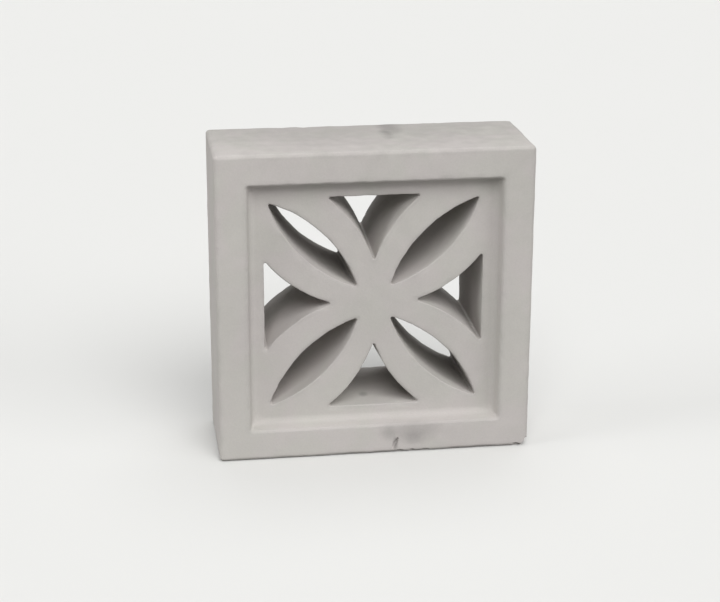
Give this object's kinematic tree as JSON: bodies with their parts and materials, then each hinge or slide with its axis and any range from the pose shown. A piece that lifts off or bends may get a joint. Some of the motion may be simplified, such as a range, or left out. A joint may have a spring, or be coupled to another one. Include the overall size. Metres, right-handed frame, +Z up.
{
  "type": "decorative screen block",
  "caption": "Square cast cement screen block with a recessed front and an open flower tracery of leaf and flared openings, for walls that let air and light through.",
  "frame": {"origin": "middle of the underside, on the floor that the block stands on", "axes": "+Z up, +X along the wall, -Y out of the recessed front, so depth runs along Y"},
  "size_m": [0.19, 0.068, 0.19],
  "materials": {
    "cast_cement": "smooth cast cement, dry and matt, light warm grey"
  },
  "bodies": {
    "root": {"screen_block": "cast_cement"}
  },
  "joints": []
}
